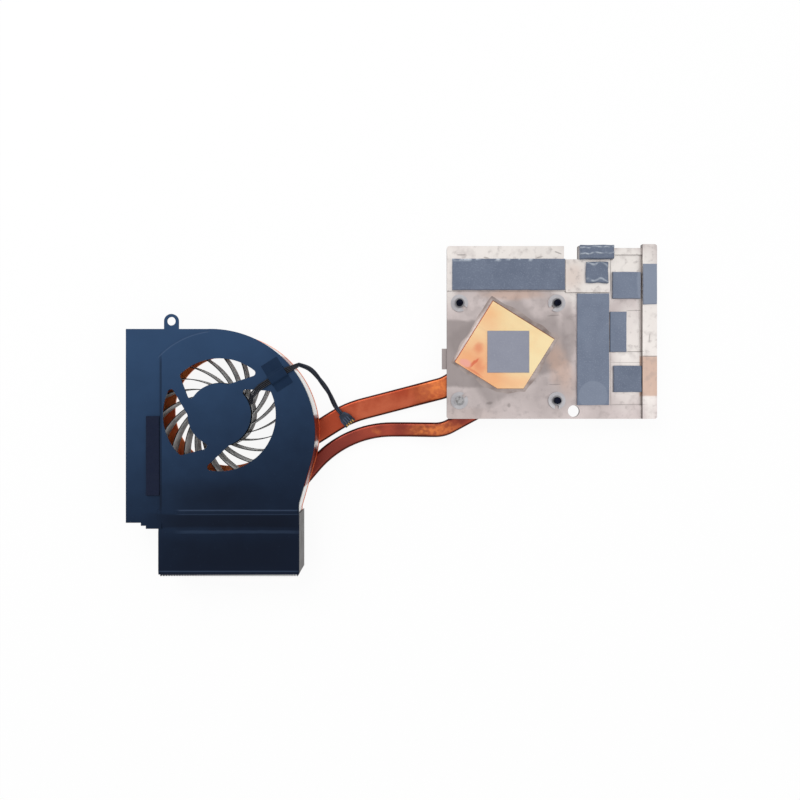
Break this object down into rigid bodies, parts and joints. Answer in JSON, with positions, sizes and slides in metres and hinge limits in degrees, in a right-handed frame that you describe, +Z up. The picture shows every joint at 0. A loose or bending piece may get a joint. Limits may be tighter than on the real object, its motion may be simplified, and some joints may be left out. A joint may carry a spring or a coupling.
{
  "type": "laptop cooling fan with heatsink",
  "caption": "Laptop cooling module lying contact side up: blower with fin stacks, flattened copper heat pipes, and a stepped plate with copper block, thermal pads and sprung screws.",
  "frame": {"origin": "middle of the footprint without the free fan cable, on the surface that the heat pipes rest on", "axes": "+X from the blower to the mounting plate, +Y towards the plate's far edge, +Z up, out of the contact side"},
  "size_m": [0.2502, 0.1566, 0.0182],
  "materials": {
    "cover_paint": "satin dark blue coating",
    "base_copper": "bare copper sheet",
    "wall_bright": "bright sheet",
    "fin_metal": "bare sheet",
    "impeller_plastic": "moulded, dark",
    "motor_steel": "plain",
    "magnet": "bonded magnet",
    "bearing_brass": "sintered",
    "winding_copper": "enamelled wire",
    "board": "circuit board",
    "foam": "closed-cell foam",
    "lead_insulation": "thin insulated wire",
    "tape": "adhesive tape",
    "cable_sleeve": "black sleeve",
    "connector_plastic": "moulded, black",
    "contact_gold": "plated contact",
    "pipe_copper": "bare copper, heat tinted",
    "plate_metal": "plated, lightly stained",
    "block_copper": "milled copper",
    "thermal_pad": "soft filled silicone",
    "screw_steel": "blackened",
    "clip_steel": "plain",
    "spring_steel": "plain"
  },
  "bodies": {
    "module": {"motor_plate": "cover_paint", "base_sheet": "base_copper", "scroll_wall": "wall_bright", "cutoff_wall": "wall_bright", "end_plate": "wall_bright", "left_fin_stack": "fin_metal", "front_fin_stack": "fin_metal", "bearing_tube": "bearing_brass", "sleeve_bearing": "bearing_brass", "stator_core": "motor_steel", "stator_windings": "winding_copper", "motor_board": "board", "foam_strip": "foam", "fan_leads": "lead_insulation", "lead_tape": "tape", "fan_cable": "cable_sleeve", "fan_connector": "connector_plastic", "connector_contacts": "contact_gold", "upper_heat_pipe": "pipe_copper", "lower_heat_pipe": "pipe_copper", "mount_plate": "plate_metal", "contact_block": "block_copper", "gpu_pad": "thermal_pad", "memory_pad_top": "thermal_pad", "memory_pad_right": "thermal_pad", "pad_edge": "thermal_pad", "pad_small_upper": "thermal_pad", "pad_vrm_upper": "thermal_pad", "pad_vrm_middle": "thermal_pad", "pad_vrm_lower": "thermal_pad", "pad_strip_right": "thermal_pad", "screw_spring_1": "spring_steel", "screw_spring_2": "spring_steel", "screw_spring_3": "spring_steel", "screw_spring_4": "spring_steel"},
    "rotor": {"impeller": "impeller_plastic", "rotor_yoke": "motor_steel", "rotor_magnet": "magnet", "rotor_shaft": "motor_steel"},
    "clip_1": {"screw_clip_1": "clip_steel"},
    "screw_1": {"captive_screw_1": "screw_steel"},
    "clip_2": {"screw_clip_2": "clip_steel"},
    "screw_2": {"captive_screw_2": "screw_steel"},
    "clip_3": {"screw_clip_3": "clip_steel"},
    "screw_3": {"captive_screw_3": "screw_steel"},
    "clip_4": {"screw_clip_4": "clip_steel"},
    "screw_4": {"captive_screw_4": "screw_steel"}
  },
  "joints": [
    {"name": "impeller_spin", "type": "hinge", "parent": "module", "child": "rotor", "pos_m": [-0.0815, -0.0029, 0.01], "axis": [0, 0, 1], "continuous": true},
    {"name": "screw_press_1", "type": "slide", "parent": "module", "child": "clip_1", "axis": [0, 0, 1], "range_m": [0, 0.002], "stiffness_N_per_m": 500, "springref_m": -0.001, "deforming": ["screw_spring_1"]},
    {"name": "screw_turn_1", "type": "hinge", "parent": "clip_1", "child": "screw_1", "pos_m": [0.03095, 0.05025, 0.0081], "axis": [0, 0, 1], "continuous": true},
    {"name": "screw_press_2", "type": "slide", "parent": "module", "child": "clip_2", "axis": [0, 0, 1], "range_m": [0, 0.002], "stiffness_N_per_m": 500, "springref_m": -0.001, "deforming": ["screw_spring_2"]},
    {"name": "screw_turn_2", "type": "hinge", "parent": "clip_2", "child": "screw_2", "pos_m": [0.07745, 0.05025, 0.0081], "axis": [0, 0, 1], "continuous": true},
    {"name": "screw_press_3", "type": "slide", "parent": "module", "child": "clip_3", "axis": [0, 0, 1], "range_m": [0, 0.002], "stiffness_N_per_m": 500, "springref_m": -0.001, "deforming": ["screw_spring_3"]},
    {"name": "screw_turn_3", "type": "hinge", "parent": "clip_3", "child": "screw_3", "pos_m": [0.03095, 0.00375, 0.0081], "axis": [0, 0, 1], "continuous": true},
    {"name": "screw_press_4", "type": "slide", "parent": "module", "child": "clip_4", "axis": [0, 0, 1], "range_m": [0, 0.002], "stiffness_N_per_m": 500, "springref_m": -0.001, "deforming": ["screw_spring_4"]},
    {"name": "screw_turn_4", "type": "hinge", "parent": "clip_4", "child": "screw_4", "pos_m": [0.07745, 0.00375, 0.0081], "axis": [0, 0, 1], "continuous": true}
  ]
}
